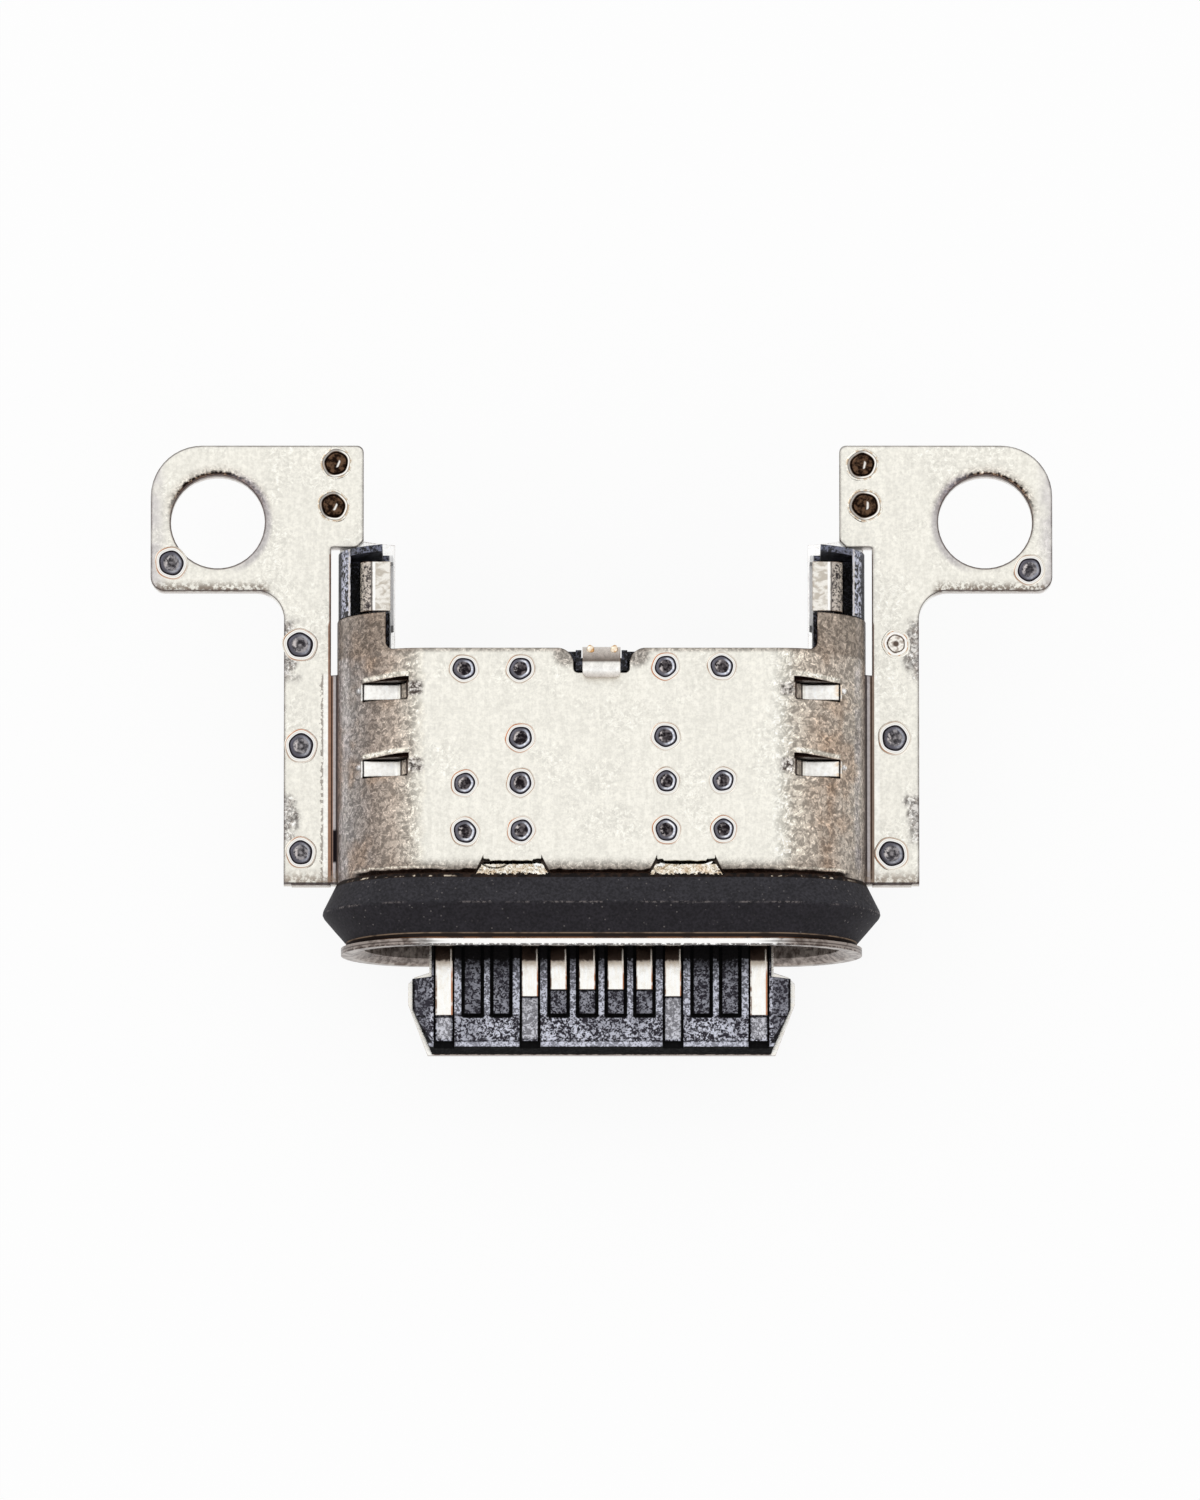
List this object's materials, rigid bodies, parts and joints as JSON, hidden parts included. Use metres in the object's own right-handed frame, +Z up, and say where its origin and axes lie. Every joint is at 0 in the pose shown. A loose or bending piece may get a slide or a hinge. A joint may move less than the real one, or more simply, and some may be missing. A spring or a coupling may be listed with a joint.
{
  "type": "charging port",
  "caption": "Sealed mid-mount reversible charging port with two welded covers, screw ears, rubber nose seal and a contact tongue.",
  "frame": {"origin": "where the plug's axis crosses the front face of the nose flange", "axes": "+X across the port to the right as the main face is seen, +Y from the mouth to the rear, +Z up out of the main face"},
  "size_m": [0.0158, 0.0108, 0.0036],
  "materials": {
    "satin_nickel": "satin nickel plating, warm, with fine grain",
    "bright_nickel": "bright nickel plating, nearly mirror-like",
    "drawn_steel": "drawn stainless steel, satin",
    "latch_steel": "blanked stainless steel",
    "contact_plating": "pale hard plating on copper alloy",
    "leg_plating": "bright tin plating",
    "seal_rubber": "matt black silicone",
    "tongue_plastic": "glass-filled black plastic with a fine speckle",
    "housing_plastic": "glass-filled black plastic",
    "wafer_plastic": "glass-filled black plastic",
    "sealant_resin": "poured dark resin"
  },
  "bodies": {
    "root": {"left_solder_leg": "leg_plating", "lower_ground_left_contact": "contact_plating", "lower_ground_plate": "latch_steel", "lower_ground_right_contact": "contact_plating", "lower_inner_signal_left_contact": "contact_plating", "lower_inner_signal_right_contact": "contact_plating", "lower_outer_signal_left_contact": "contact_plating", "lower_outer_signal_right_contact": "contact_plating", "lower_power_left_contact": "contact_plating", "lower_power_right_contact": "contact_plating", "lower_wafer": "wafer_plastic", "mid_plate": "latch_steel", "nose_shell": "drawn_steel", "rear_housing": "housing_plastic", "rear_sealant": "sealant_resin", "right_solder_leg": "leg_plating", "seal_ring": "seal_rubber", "tongue_molding": "tongue_plastic", "top_cover": "satin_nickel", "under_cover": "bright_nickel", "upper_ground_left_contact": "contact_plating", "upper_ground_plate": "latch_steel", "upper_ground_right_contact": "contact_plating", "upper_inner_signal_left_contact": "contact_plating", "upper_inner_signal_right_contact": "contact_plating", "upper_outer_signal_left_contact": "contact_plating", "upper_outer_signal_right_contact": "contact_plating", "upper_power_left_contact": "contact_plating", "upper_power_right_contact": "contact_plating", "upper_wafer": "wafer_plastic"}
  },
  "joints": []
}
